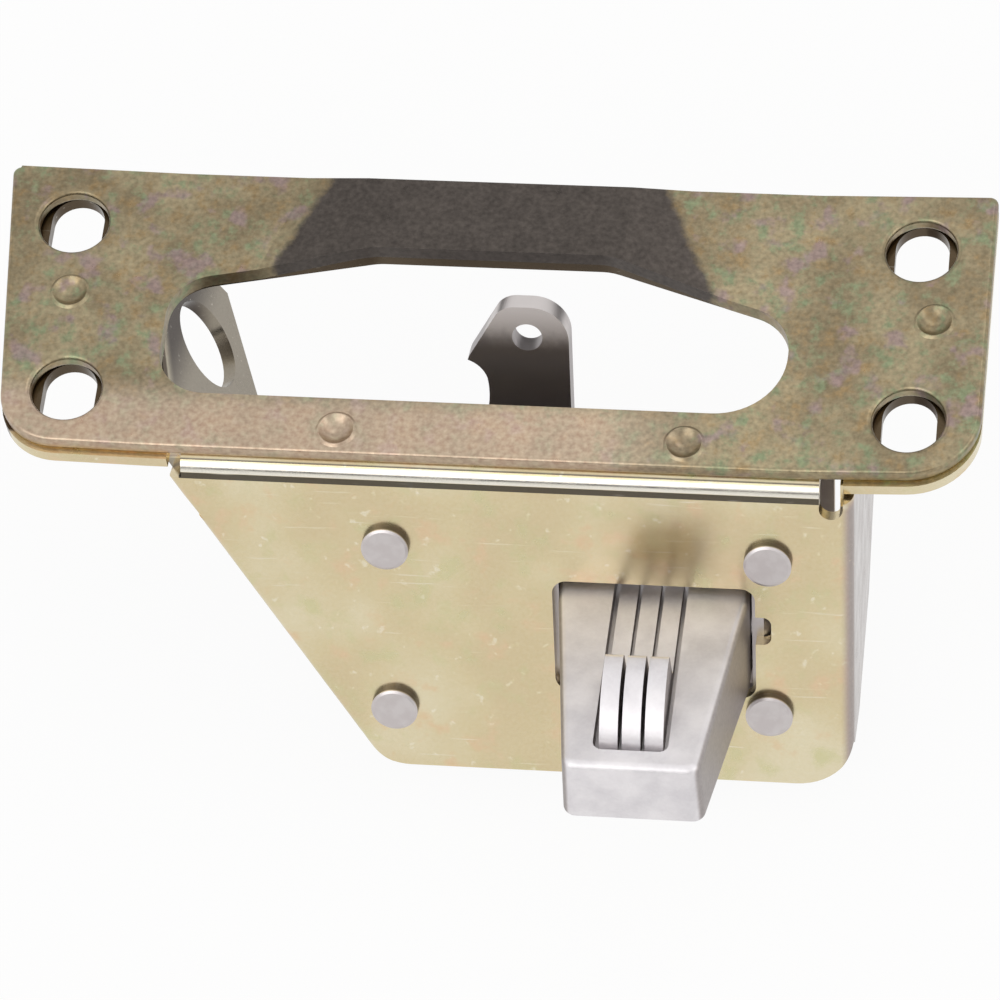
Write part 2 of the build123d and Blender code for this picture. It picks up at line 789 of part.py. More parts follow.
lever_face = Plane(
    origin=face_side(window_centre_x).origin, x_dir=(1, 0, 0), z_dir=(0, sin(face_rise), cos(face_rise))
)
lever_plan = Plane(
    origin=side_plane(window_centre_x).origin, x_dir=(1, 0, 0), z_dir=(0, lean_sin, lean_cos)
)
root_half, tip_half = lever_root_width / 2, lever_tip_width / 2
beyond = 2 * lever_tip_bottom_drop
recess_front = pin_depth - lever_spring_coil_radius - lever_spring_wire / 2 - spring_end_gap
rib_places = [pocket_x + rib_pitch * (index - (rib_count - 1) / 2) for index in range(rib_count)]
with BuildPart() as lever:
    with BuildSketch(side_plane(window_centre_x + root_half)):
        with BuildLine():
            hub = CenterArc((-pin_depth, -pin_drop), lever_hub_radius, 0, 360)
            tip_bottom = (lever_reach - lever_tip_set_back, -lever_tip_bottom_drop)
            tip = Line((lever_reach, -lever_tip_top_drop), tip_bottom)
        make_hull([hub, tip])
    extrude(amount=lever_root_width)
    with BuildSketch(lever_plan.offset(-beyond)):
        with BuildLine():
            FilletPolyline(
                (root_half, 2 * lever_hub_radius),
                (root_half, 0),
                (tip_half, -lever_reach),
                (-tip_half, -lever_reach),
                (-root_half, 0),
                (-root_half, 2 * lever_hub_radius),
                radius=[0, lever_taper_radius, 0, 0, lever_taper_radius, 0],
                close=True,
            )
        make_face()
    extrude(amount=2 * beyond, mode=Mode.INTERSECT)
    tip_face = lever.faces().sort_by(Axis(lever_face.origin, -lever_face.y_dir))[-1]
    fillet(tip_face.edges().filter_by(Axis.X, reverse=True), radius=lever_corner_radius)
    caps = [face for face in lever.faces() if abs(face.normal_at().X) < 0.001]
    tip_face = lever.faces().sort_by(Axis(lever_face.origin, -lever_face.y_dir))[-1]
    borders = [edge for face in caps if not face.is_same(tip_face) for edge in face.edges()]
    fillet([edge for edge in borders if sum(edge.is_same(other) for other in borders) == 1],
           radius=lever_edge_radius)
    roof_front, roof_rear = face_length - lever_wall, cavity_start
    half_at = [root_half - (root_half - tip_half) * along_face / face_length - lever_wall
               for along_face in (roof_rear, roof_front)]
    with BuildSketch(lever_face.offset(-pocket_depth - lever_wall)):
        with BuildLine():
            FilletPolyline(
                (-half_at[0], -roof_rear),
                (half_at[0], -roof_rear),
                (half_at[1], -roof_front),
                (-half_at[1], -roof_front),
                radius=lever_corner_radius,
                close=True,
            )
        make_face()
    extrude(amount=-lever_tip_bottom_drop, mode=Mode.SUBTRACT)
    with BuildSketch(lever_face.offset(-pocket_depth)):
        with Locations((pocket_x - window_centre_x, lever_hub_radius - pocket_length / 2)):
            RectangleRounded(pocket_width, pocket_length + 2 * lever_hub_radius, pocket_corner_radius)
    extrude(amount=2 * pocket_depth, mode=Mode.SUBTRACT)
    for x in rib_places:
        with BuildSketch(face_side(x + rib_width / 2)):
            with BuildLine():
                crest = (rib_crest_along, rib_crest_height)
                rise = FilletPolyline(
                    (rib_start, -pocket_depth),
                    (rib_start, -rib_low_drop),
                    (rib_hump_start, -rib_low_drop),
                    (rib_hump_start + rib_rise_run, rib_crest_height),
                    crest,
                    radius=[rib_start_radius, rib_foot_radius, rib_crest_radius],
                )
                fall = TangentArc(crest, (rib_end_along, -pocket_depth), tangent=(1, 0))
                Line(fall @ 1, rise @ 0)
            make_face()
        extrude(amount=rib_width)
    with BuildSketch(lever_plan.offset(-beyond)):
        with Locations((lever_spring_x - window_centre_x, lever_hub_radius + recess_front)):
            Rectangle(lever_recess_width, 2 * lever_hub_radius)
    extrude(amount=beyond - lever_recess_drop, mode=Mode.SUBTRACT)
    with BuildSketch(lever_plan.offset(-beyond)):
        with Locations((core_x - window_centre_x, lever_hub_radius + core_front)):
            Rectangle(core_width, 2 * lever_hub_radius)
    extrude(amount=beyond - core_drop, mode=Mode.SUBTRACT)
    with BuildSketch(side_plane(arm_x + arm_width / 2)):
        with BuildLine():
            root = CenterArc((-arm_root_depth, -arm_root_drop), arm_root_radius, 0, 360)
            nose = CenterArc((-nose_depth, nose_radius + nose_gap - hook_pad_drop), nose_radius, 0, 360)
        make_hull([root, nose])
    extrude(amount=arm_width)
    for x in foot_places:
        with BuildSketch(side_plane(x + foot_width / 2)):
            with Locations((foot_middle, -(window_bottom_drop - foot_gap) + foot_height / 2)):
                RectangleRounded(foot_length, foot_height, foot_radius)
        extrude(amount=foot_width)
    with BuildSketch(side_plane(window_centre_x + root_half)):
        with Locations((-pin_depth, -pin_drop)):
            Circle(pin_radius + pin_running_clearance)
    extrude(amount=lever_root_width, mode=Mode.SUBTRACT)
lever.part.label = "lever"


def turned_plane(plane, angle):
    """The same plane with its x axis turned about its normal."""
    x_dir = plane.x_dir * cos(radians(angle)) + plane.y_dir * sin(radians(angle))
    return Plane(origin=plane.origin, x_dir=x_dir, z_dir=plane.z_dir)


def leg_run(radius, reach_x, reach_y):
    """Length of a spring's leg to a point from the coil's axis, and the angles to its point and its start."""
    away = hypot(reach_x, reach_y)
    return (away**2 - radius**2) ** 0.5, degrees(atan2(reach_y, reach_x)), degrees(acos(radius / away))


def torsion_spring(place, radius, wire, pitch, turns, legs, tips):
    """A right-handed coil along the place's Z, with straight legs whose tips may turn along the axis."""
    with BuildPart() as spring:
        with BuildLine() as path:
            coil = Helix(pitch, pitch * turns, radius)
            first_end = coil @ 0 - (coil % 0) * legs[0]
            last_end = coil @ 1 + (coil % 1) * legs[1]
            if tips:
                first_tip, last_tip = (first_end.X, first_end.Y, tips[0]), (last_end.X, last_end.Y, tips[1])
                FilletPolyline(first_tip, first_end, coil @ 0, radius=tip_bend_radius)
                FilletPolyline(coil @ 1, last_end, last_tip, radius=tip_bend_radius)
            else:
                Line(first_end, coil @ 0)
                Line(coil @ 1, last_end)
        route = path.wires()[0]
        with BuildSketch(Plane(origin=route @ 0, z_dir=route % 0)):
            Circle(wire / 2)
        sweep(path=route, is_frenet=True)
    return spring.part.moved(place.location)


# Hook return spring: coil on the pivot sleeve, its tips turned into the hook and the carrier
hook_leg, hook_angle, hook_lead = leg_run(hook_spring_coil_radius, *hook_spring_hole)
carrier_leg, carrier_angle, carrier_lead = leg_run(hook_spring_coil_radius, *carrier_spring_hole)
coil_start_angle = hook_angle + hook_lead
coil_end_angle = carrier_angle - carrier_lead
hook_spring_turns = hook_spring_whole_turns + ((coil_end_angle - coil_start_angle) % 360) / 360
coil_rear, coil_front = hook_depth - hook_coil_rear_gap, carrier_back + hook_coil_front_gap
hook_spring_place = Plane(
    origin=web_plane.from_local_coords(Vector(*pivot, -coil_rear)), x_dir=(1, 0, 0), z_dir=web_plane.z_dir
)
hook_return_spring = torsion_spring(
    turned_plane(hook_spring_place, coil_start_angle),
    hook_spring_coil_radius,
    hook_spring_wire,
    (coil_rear - coil_front) / hook_spring_turns,
    hook_spring_turns,
    (hook_leg, carrier_leg),
    (coil_rear - hook_depth - hook_tip_reach, coil_rear - carrier_back + carrier_tip_reach),
)
hook_return_spring.label = "hook_return_spring"

# Lever return spring: coil on the lever pin, pressing up on the lever and on the carrier's lower edge
carrier_reach = (pin_depth - carrier_back - lever_spring_wire - spring_end_gap, -lever_spring_reach)
lower_leg, lower_angle, lower_lead = leg_run(lever_spring_coil_radius, *carrier_reach)
lever_start_angle = lower_angle + lower_lead
lever_spring_turns = lever_spring_whole_turns - lever_start_angle / 360
lever_pitch = lever_spring_wire + lever_coil_gap
lever_spring_side = side_plane(lever_spring_x + lever_pitch * lever_spring_turns / 2)
lever_spring_place = Plane(
    origin=lever_spring_side.from_local_coords(Vector(-pin_depth, -pin_drop, 0)),
    x_dir=lever_spring_side.x_dir,
    z_dir=lever_spring_side.z_dir,
)
lever_return_spring = torsion_spring(
    turned_plane(lever_spring_place, lever_start_angle),
    lever_spring_coil_radius,
    lever_spring_wire,
    lever_pitch,
    lever_spring_turns,
    (lower_leg, lever_spring_leg),
    None,
)
lever_return_spring.label = "lever_return_spring"

os.makedirs("parts", exist_ok=True)
pieces = [
    mounting_plate.part, latch_bracket.part, lever_carrier.part, back_plate.part, latch_hook.part,
    lever.part, lever_pin.part, lever_pin_clip.part, hook_return_spring, lever_return_spring,
]
pieces += [*rivets.values(), *spacers.values(), *washers.values()]
for piece in pieces:
    export_step(piece, f"parts/{piece.label}.step")
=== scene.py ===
"""Hood latch: finishes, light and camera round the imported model. Lengths are metres; MM is a millimetre."""

import math

import bmesh
import bpy
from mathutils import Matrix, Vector


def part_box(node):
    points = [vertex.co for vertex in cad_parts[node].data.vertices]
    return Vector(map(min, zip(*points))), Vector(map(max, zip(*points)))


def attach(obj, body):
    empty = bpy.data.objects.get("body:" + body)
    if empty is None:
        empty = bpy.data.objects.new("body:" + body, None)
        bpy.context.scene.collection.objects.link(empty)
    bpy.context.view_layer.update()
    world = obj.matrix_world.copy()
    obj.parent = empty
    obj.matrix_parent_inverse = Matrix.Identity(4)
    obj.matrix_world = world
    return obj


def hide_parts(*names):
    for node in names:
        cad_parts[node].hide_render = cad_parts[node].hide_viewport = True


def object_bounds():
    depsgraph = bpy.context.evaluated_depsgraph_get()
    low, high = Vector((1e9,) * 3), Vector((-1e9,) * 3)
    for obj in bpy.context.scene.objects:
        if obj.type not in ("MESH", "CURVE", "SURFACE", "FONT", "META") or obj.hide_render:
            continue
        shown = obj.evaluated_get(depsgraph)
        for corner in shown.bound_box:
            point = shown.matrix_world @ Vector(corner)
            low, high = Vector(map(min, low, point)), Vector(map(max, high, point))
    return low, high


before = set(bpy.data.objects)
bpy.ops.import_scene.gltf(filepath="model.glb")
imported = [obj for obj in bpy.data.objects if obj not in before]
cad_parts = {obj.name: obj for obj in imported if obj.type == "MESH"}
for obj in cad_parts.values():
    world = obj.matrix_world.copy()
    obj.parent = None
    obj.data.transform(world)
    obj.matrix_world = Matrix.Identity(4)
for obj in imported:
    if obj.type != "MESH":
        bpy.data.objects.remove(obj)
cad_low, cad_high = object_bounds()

MM = 0.001

# Camera: a long lens, high in front of the latch and a little to its right, held slightly tilted. Its place
# and angles come from the outlines of the flange and the web in the photo.
camera_data = bpy.data.cameras.new("studio_camera")
camera_data.lens = 185.3
camera_data.sensor_width = 36
camera = bpy.data.objects.new("studio_camera", camera_data)
camera.location = Vector((121.6, -490.2, 727.9)) * MM
camera.rotation_euler = [math.radians(angle) for angle in (31.51, 5.32, 6.10)]
bpy.context.scene.collection.objects.link(camera)
bpy.context.scene.camera = camera

# Mounting plate: 3 mm hot rolled steel sheet, blanked, pressed and projection welded to the bracket. It is
# zinc plated and passivated in yellow chromate, an olive gold that breaks into small green, brown and pink
# patches. The olive gold is drawn darker than the bracket's as painted shade, and its guide band is painted
# dark, a painted reflection.


def linear(code):
    """Linear RGBA of an sRGB hex colour."""
    parts = [int(code[at:at + 2], 16) / 255 for at in (1, 3, 5)]
    return [part / 12.92 if part <= 0.04045 else ((part + 0.055) / 1.055) ** 2.4 for part in parts] + [1]


def add(tree, kind, inputs=None, **settings):
    """Adds a shader node; an input takes a number, a hex colour, a socket or a node for its first output."""
    made = tree.nodes.new("ShaderNode" + kind)
    for name, value in settings.items():
        setattr(made, name, value)
    for key, value in (inputs or {}).items():
        if isinstance(value, bpy.types.Node):
            value = next(output for output in value.outputs if output.enabled)
        if isinstance(value, bpy.types.NodeSocket):
            tree.links.new(value, made.inputs[key])
        else:
            made.inputs[key].default_value = linear(value) if isinstance(value, str) else value
    return made


def new_material(name, pieces):
    """An empty material, given to the pieces; returns its node tree."""
    material = bpy.data.materials.new(name)
    material.use_nodes = True
    material.node_tree.nodes.clear()
    for piece in pieces:
        piece.data.materials.clear()
        piece.data.materials.append(material)
    return material.node_tree


def refined(node, body):
    """A copy of a CAD node, to be shown in its place on the same body."""
    piece = bpy.data.objects.new("finished_" + node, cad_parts[node].data.copy())
    bpy.context.scene.collection.objects.link(piece)
    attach(piece, body)
    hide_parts(node)
    return piece


plate = refined("mounting_plate", "frame")

# Its rear edge is sheared square, so the rounding of the rim stops at the two rear corners. Beyond two bend
# lines the sheet's ends rise a little.
rear_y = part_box("mounting_plate")[1][1]
plate_top = 1.0 * MM
rim_radius = 0.8 * MM
rim_reach = 1.1 * rim_radius
left_bend_x, right_bend_x = 55 * MM, 56 * MM
left_slope, right_slope = 0.0279, 0.0594
band_end_x, corner_x = 44 * MM, 84.4 * MM
for point in plate.data.vertices:
    rise = left_slope * max(0, -point.co.x - left_bend_x) + right_slope * max(0, point.co.x - right_bend_x)
    at_rear = point.co.y > rear_y - rim_reach
    at_top = point.co.z > plate_top + rise - rim_reach
    if at_rear and at_top and band_end_x < abs(point.co.x) < corner_x:
        point.co.y = rear_y
        point.co.z = plate_top + rise

# The photo shows the four holes a little smaller than the model has them, so their rims are drawn inwards.
hole_radius, drawn_radius, untouched_radius = 6.75 * MM, 6.1 * MM, 9.5 * MM
bore_reach = 0.1 * MM
rear_hole_x, front_left_hole_x, front_right_hole_x = 73.5 * MM, 69.8 * MM, 73.5 * MM
front_row_y = -34 * MM
hole_places = [(-rear_hole_x, 0), (rear_hole_x, 0), (-front_left_hole_x, front_row_y),
               (front_right_hole_x, front_row_y)]
for hole_place in hole_places:
    for point in plate.data.vertices:
        spoke = point.co.xy - Vector(hole_place)
        if hole_radius - bore_reach < spoke.length < untouched_radius:
            share = (untouched_radius - spoke.length) / (untouched_radius - hole_radius)
            point.co.xy -= spoke.normalized() * (hole_radius - drawn_radius) * share

tree = new_material("yellow_chromate_on_rolled_zinc_plate", [plate])
place = add(tree, "TexCoord").outputs["Object"]
axes = add(tree, "SeparateXYZ", {0: place})
clouds = add(tree, "TexNoise", {"Vector": place, "W": 1.3, "Scale": 1 / (13 * MM), "Detail": 2},
             noise_dimensions="4D")
patches = add(tree, "TexNoise", {"Vector": place, "W": 4.1, "Scale": 1 / (3.4 * MM), "Detail": 4,
                                 "Roughness": 0.65}, noise_dimensions="4D")
blushes = add(tree, "TexNoise", {"Vector": place, "W": 7.7, "Scale": 1 / (4.5 * MM), "Detail": 3},
              noise_dimensions="4D")
grain = add(tree, "TexNoise", {"Vector": place, "Scale": 1 / (0.9 * MM), "Detail": 2})

# Olive gold, drawn darker as painted shade, in broad clouds, then the green, brown and pink patches.
share = add(tree, "MapRange", {"Value": clouds, "From Min": 0.35, "From Max": 0.65},
            interpolation_type="SMOOTHSTEP")
tone = add(tree, "Mix", {"Factor": share, "A": "#96886D", "B": "#B0A283"}, data_type="RGBA")
share = add(tree, "MapRange", {"Value": patches, "From Min": 0.5, "From Max": 0.68},
            interpolation_type="SMOOTHSTEP")
tone = add(tree, "Mix", {"Factor": share, "A": tone, "B": "#97A07E"}, data_type="RGBA")
share = add(tree, "MapRange", {"Value": patches, "From Min": 0.5, "From Max": 0.3, "To Max": 0.7},
            interpolation_type="SMOOTHSTEP")
tone = add(tree, "Mix", {"Factor": share, "A": tone, "B": "#A88C63"}, data_type="RGBA")
share = add(tree, "MapRange", {"Value": blushes, "From Min": 0.55, "From Max": 0.68, "To Max": 0.7},
            interpolation_type="SMOOTHSTEP")
tone = add(tree, "Mix", {"Factor": share, "A": tone, "B": "#A99293"}, data_type="RGBA")

# Painted highlight: the strip in front of the opening is drawn paler and rosier, as far as its right third.
near = add(tree, "MapRange", {"Value": axes.outputs["Y"], "From Min": -30 * MM, "From Max": -37 * MM},
           interpolation_type="SMOOTHSTEP")
left = add(tree, "MapRange", {"Value": axes.outputs["X"], "From Min": 46 * MM, "From Max": 16 * MM},
           interpolation_type="SMOOTHSTEP")
front_strip_painted_highlight = add(tree, "Math", {0: near, 1: left}, operation="MULTIPLY")
front_strip_painted_highlight = add(tree, "Math", {0: front_strip_painted_highlight, 1: 0.62}, operation="MULTIPLY")
tone = add(tree, "Mix", {"Factor": front_strip_painted_highlight, "A": tone, "B": "#D8C4AE"}, data_type="RGBA")

# The guide band, painted dark as a painted reflection: a trapezoid that narrows to the rear and has a ragged
# edge.
band_middle_half, band_taper = 34.4 * MM, -0.44
sideways = add(tree, "Math", {0: axes.outputs["X"]}, operation="ABSOLUTE")
half = add(tree, "Math", {0: axes.outputs["Y"], 1: band_taper, 2: band_middle_half}, operation="MULTIPLY_ADD")
inside = add(tree, "Math", {0: half, 1: sideways}, operation="SUBTRACT")
inside = add(tree, "Math", {0: patches, 1: 4 * MM, 2: inside}, operation="MULTIPLY_ADD")
inside = add(tree, "MapRange", {"Value": inside, "From Min": 1.2 * MM, "From Max": 3.2 * MM},
             interpolation_type="SMOOTHSTEP")
behind = add(tree, "MapRange", {"Value": axes.outputs["Y"], "From Min": -16 * MM, "From Max": -13 * MM})
band = add(tree, "Math", {0: inside, 1: behind}, operation="MULTIPLY")
band_painted_reflection = add(tree, "Mix", {"Factor": patches, "A": "#5A5450", "B": "#6C645E"}, data_type="RGBA")
tone = add(tree, "Mix", {"Factor": band, "A": tone, "B": band_painted_reflection}, data_type="RGBA")

# The grain of about 0.3 mm is drawn three times as coarse, so that it shows, over faint rolling lines.
speck = add(tree, "Mix", {"Factor": grain, "A": "#2E2E2E", "B": "#D4D4D4"}, data_type="RGBA")
tone = add(tree, "Mix", {"Factor": 0.6, "A": tone, "B": speck}, data_type="RGBA", blend_type="OVERLAY")
drawn = add(tree, "Mapping", {"Vector": place, "Scale": (0.1, 1, 1)})
rolling = add(tree, "TexNoise", {"Vector": drawn, "Scale": 1 / (1.1 * MM), "Detail": 2})
dullness = add(tree, "MapRange", {"Value": patches, "From Min": 0.3, "From Max": 0.7, "To Min": 0.27,
                                  "To Max": 0.42})
bump = add(tree, "Bump", {"Height": rolling, "Strength": 0.12, "Distance": 0.08 * MM})
bump = add(tree, "Bump", {"Height": grain, "Strength": 0.1, "Distance": 0.06 * MM, "Normal": bump})
shader = add(tree, "BsdfPrincipled", {"Base Color": tone, "Metallic": 1, "Roughness": dullness,
                                      "Normal": bump})
add(tree, "OutputMaterial", {"Surface": shader})

# Latch bracket: one 2.5 mm sheet folded into the lower flange, the web and two side walls. The chromate is
# the same on a smoother cold rolled sheet, drawn paler than the plate's shaded olive. It mirrors the lever
# above the web, and has fine scratches and small bare spots.
bracket = refined("latch_bracket", "frame")

# The left end of the fold is cropped to the slant of the web.
web_tilt = math.radians(25)
fold_corner = Vector((0, -45.5, -2.0)) * MM
up_the_web = Vector((0, math.sin(web_tilt), math.cos(web_tilt)))
out_of_web = Vector((0, -math.cos(web_tilt), math.sin(web_tilt)))
fold_end_x, fold_end_up, slant_x = -49 * MM, -12 * MM, -45.5 * MM
touching = 0.05 * MM
for point in bracket.data.vertices:
    up = (point.co - fold_corner).dot(up_the_web)
    if abs(point.co.x - fold_end_x) < touching and abs(up - fold_end_up) < touching:
        point.co.x = slant_x

tree = new_material("pale_yellow_chromate_on_smooth_sheet", [bracket])
place = add(tree, "TexCoord").outputs["Object"]
axes = add(tree, "SeparateXYZ", {0: place})
from_fold = add(tree, "VectorMath", {0: place, 1: fold_corner}, operation="SUBTRACT")
up = add(tree, "VectorMath", {0: from_fold, 1: up_the_web}, operation="DOT_PRODUCT")
proud = add(tree, "VectorMath", {0: from_fold, 1: out_of_web}, operation="DOT_PRODUCT")
clouds = add(tree, "TexNoise", {"Vector": place, "W": 1.9, "Scale": 1 / (24 * MM), "Detail": 2},
             noise_dimensions="4D")
patches = add(tree, "TexNoise", {"Vector": place, "W": 4.2, "Scale": 1 / (6 * MM), "Detail": 4},
              noise_dimensions="4D")
spots = add(tree, "TexNoise", {"Vector": place, "W": 8.8, "Scale": 1 / (2.2 * MM), "Detail": 3},
            noise_dimensions="4D")

# Pale gold in broad clouds, then green and orange patches and bare spots.
share = add(tree, "MapRange", {"Value": clouds, "From Min": 0.35, "From Max": 0.65},
            interpolation_type="SMOOTHSTEP")
tone = add(tree, "Mix", {"Factor": share, "A": "#DDD1B6", "B": "#E6DEC8"}, data_type="RGBA")
share = add(tree, "MapRange", {"Value": patches, "From Min": 0.52, "From Max": 0.72, "To Max": 0.6},
            interpolation_type="SMOOTHSTEP")
tone = add(tree, "Mix", {"Factor": share, "A": tone, "B": "#D8D6B4"}, data_type="RGBA")
share = add(tree, "MapRange", {"Value": patches, "From Min": 0.46, "From Max": 0.3, "To Max": 0.7},
            interpolation_type="SMOOTHSTEP")
tone = add(tree, "Mix", {"Factor": share, "A": tone, "B": "#E4CFB6"}, data_type="RGBA")
share = add(tree, "MapRange", {"Value": spots, "From Min": 0.62, "From Max": 0.72, "To Max": 0.5},
            interpolation_type="SMOOTHSTEP")
tone = add(tree, "Mix", {"Factor": share, "A": tone, "B": "#F0EBDC"}, data_type="RGBA")

# Painted reflection: the side wall, which faces another way, is drawn greyer.
right = add(tree, "MapRange", {"Value": axes.outputs["X"], "From Min": 62.6 * MM, "From Max": 64.6 * MM},
            interpolation_type="SMOOTHSTEP")
low = add(tree, "MapRange", {"Value": axes.outputs["Z"], "From Min": -4 * MM, "From Max": -7 * MM},
          interpolation_type="SMOOTHSTEP")
side_wall_painted_reflection = add(tree, "Math", {0: right, 1: low}, operation="MULTIPLY")
tone = add(tree, "Mix", {"Factor": side_wall_painted_reflection, "A": tone, "B": "#BDB4AF"}, data_type="RGBA")

# Painted shade: the gusset inside the bracket is drawn grey, and darker to the left.
inner = add(tree, "MapRange", {"Value": proud, "From Min": -3 * MM, "From Max": -5 * MM},
            interpolation_type="SMOOTHSTEP")
left = add(tree, "MapRange", {"Value": axes.outputs["X"], "From Min": -10 * MM, "From Max": -16 * MM})
gusset_painted_shade = add(tree, "Math", {0: left, 1: inner}, operation="MULTIPLY")
gusset_painted_shade = add(tree, "Math", {0: gusset_painted_shade, 1: low}, operation="MULTIPLY")
share = add(tree, "MapRange", {"Value": axes.outputs["X"], "From Min": -55 * MM, "From Max": -51 * MM},
            interpolation_type="SMOOTHSTEP")
gusset_shade_tone = add(tree, "Mix", {"Factor": share, "A": "#5A524C", "B": "#A89F90"}, data_type="RGBA")
tone = add(tree, "Mix", {"Factor": gusset_painted_shade, "A": tone, "B": gusset_shade_tone}, data_type="RGBA")

# Painted shade between the two sheets, where the plate covers the lower one, and in the slots.
sideways = add(tree, "Math", {0: axes.outputs["X"]}, operation="ABSOLUTE")
covered = add(tree, "MapRange", {"Value": sideways, "From Min": 80.9 * MM, "From Max": 80.4 * MM})
behind = add(tree, "MapRange", {"Value": axes.outputs["Y"], "From Min": -41.6 * MM, "From Max": -41.0 * MM})
high = add(tree, "MapRange", {"Value": axes.outputs["Z"], "From Min": -5.2 * MM, "From Max": -4.8 * MM})
painted_shade_mask = add(tree, "Math", {0: covered, 1: behind}, operation="MULTIPLY")
painted_shade_mask = add(tree, "Math", {0: painted_shade_mask, 1: high}, operation="MULTIPLY")
tone = add(tree, "Mix", {"Factor": painted_shade_mask, "A": tone, "B": "#5E503E"}, data_type="RGBA")

# On the fold, a painted highlight along its crest and painted dark lines on both sides of that: the shadow
# under the plate's edge above and a dark reflection below.
front = add(tree, "MapRange", {"Value": axes.outputs["Y"], "From Min": -44.6 * MM, "From Max": -44.9 * MM})
from_left = add(tree, "Math", {0: axes.outputs["X"], 1: -49.4 * MM}, operation="GREATER_THAN")
to_right = add(tree, "Math", {0: axes.outputs["X"], 1: 59.4 * MM}, operation="LESS_THAN")
fold = add(tree, "Math", {0: from_left, 1: to_right}, operation="MULTIPLY")
fold = add(tree, "Math", {0: fold, 1: front}, operation="MULTIPLY")
foot = add(tree, "Math", {0: up, 1: -2.95 * MM, 2: 0.6 * MM}, operation="COMPARE")
brow = add(tree, "Math", {0: up, 1: 0.2 * MM, 2: 0.35 * MM}, operation="COMPARE")
fold_painted_dark_lines = add(tree, "Math", {0: foot, 1: brow}, operation="ADD")
fold_painted_dark_lines = add(tree, "Math", {0: fold_painted_dark_lines, 1: fold}, operation="MULTIPLY")
fold_painted_dark_lines = add(tree, "Math", {0: fold_painted_dark_lines, 1: 0.85}, operation="MULTIPLY")
tone = add(tree, "Mix", {"Factor": fold_painted_dark_lines, "A": tone, "B": "#3C342C"}, data_type="RGBA")
fold_painted_highlight = add(tree, "Math", {0: up, 1: -1.4 * MM, 2: 0.9 * MM}, operation="COMPARE")
fold_painted_highlight = add(tree, "Math", {0: fold_painted_highlight, 1: fold}, operation="MULTIPLY")
tone = add(tree, "Mix", {"Factor": fold_painted_highlight, "A": tone, "B": "#EFEBE2"}, data_type="RGBA")

# Scratches and grain, both drawn coarser than the real ones, so that they show.
drawn = add(tree, "Mapping", {"Vector": place, "Rotation": (0, 0, 0.9), "Scale": (0.05, 1, 1)})
lines = add(tree, "TexNoise", {"Vector": drawn, "Scale": 1 / (0.7 * MM), "Detail": 2})
share = add(tree, "MapRange", {"Value": lines, "From Min": 0.68, "From Max": 0.76, "To Max": 0.5})
tone = add(tree, "Mix", {"Factor": share, "A": tone, "B": "#EDE8DA"}, data_type="RGBA")
grain = add(tree, "TexNoise", {"Vector": place, "Scale": 1 / (0.6 * MM), "Detail": 2})
speck = add(tree, "Mix", {"Factor": grain, "A": "#6A6A6A", "B": "#989898"}, data_type="RGBA")
tone = add(tree, "Mix", {"Factor": 0.5, "A": tone, "B": speck}, data_type="RGBA", blend_type="OVERLAY")
dullness = add(tree, "MapRange", {"Value": patches, "From Min": 0.3, "From Max": 0.7, "To Min": 0.17,
                                  "To Max": 0.29})
bump = add(tree, "Bump", {"Height": lines, "Strength": 0.1, "Distance": 0.05 * MM})
bump = add(tree, "Bump", {"Height": grain, "Strength": 0.08, "Distance": 0.04 * MM, "Normal": bump})
shader = add(tree, "BsdfPrincipled", {"Base Color": tone, "Metallic": 1, "Roughness": dullness,
                                      "Normal": bump})
add(tree, "OutputMaterial", {"Surface": shader})

# Rivets, spacers, washers, pin, clip, carrier and back plate: cold headed or blanked steel in bright zinc, a
# plain light grey with a faint grain. The rivets' heads are set flat, with painted shade round their feet.
rivets = [refined("rivet_" + corner, "frame")
          for corner in ("top_left", "top_right", "bottom_right", "hook_pivot")]
model_head_height, set_head_height = 2.9 * MM, 1.6 * MM
for rivet in rivets:
    for point in rivet.data.vertices:
        height = (point.co - fold_corner).dot(out_of_web)
        if height > 0:
            point.co -= out_of_web * height * (1 - set_head_height / model_head_height)

tree = new_material("bright_zinc_on_cold_headed_steel", rivets + [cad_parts[node] for node in (
    "spacer_top_left", "spacer_top_right", "spacer_bottom_right", "hook_pivot_sleeve", "hook_washer_front",
    "hook_washer_rear", "back_plate", "lever_carrier", "lever_pin", "lever_pin_clip")])
place = add(tree, "TexCoord").outputs["Object"]
from_fold = add(tree, "VectorMath", {0: place, 1: fold_corner}, operation="SUBTRACT")
proud = add(tree, "VectorMath", {0: from_fold, 1: out_of_web}, operation="DOT_PRODUCT")
spangle = add(tree, "TexNoise", {"Vector": place, "Scale": 1 / (2.2 * MM), "Detail": 4})
grain = add(tree, "TexNoise", {"Vector": place, "Scale": 1 / (0.4 * MM), "Detail": 2})
share = add(tree, "MapRange", {"Value": spangle, "From Min": 0.35, "From Max": 0.65},
            interpolation_type="SMOOTHSTEP")
tone = add(tree, "Mix", {"Factor": share, "A": "#C5BEBD", "B": "#CDC7C6"}, data_type="RGBA")
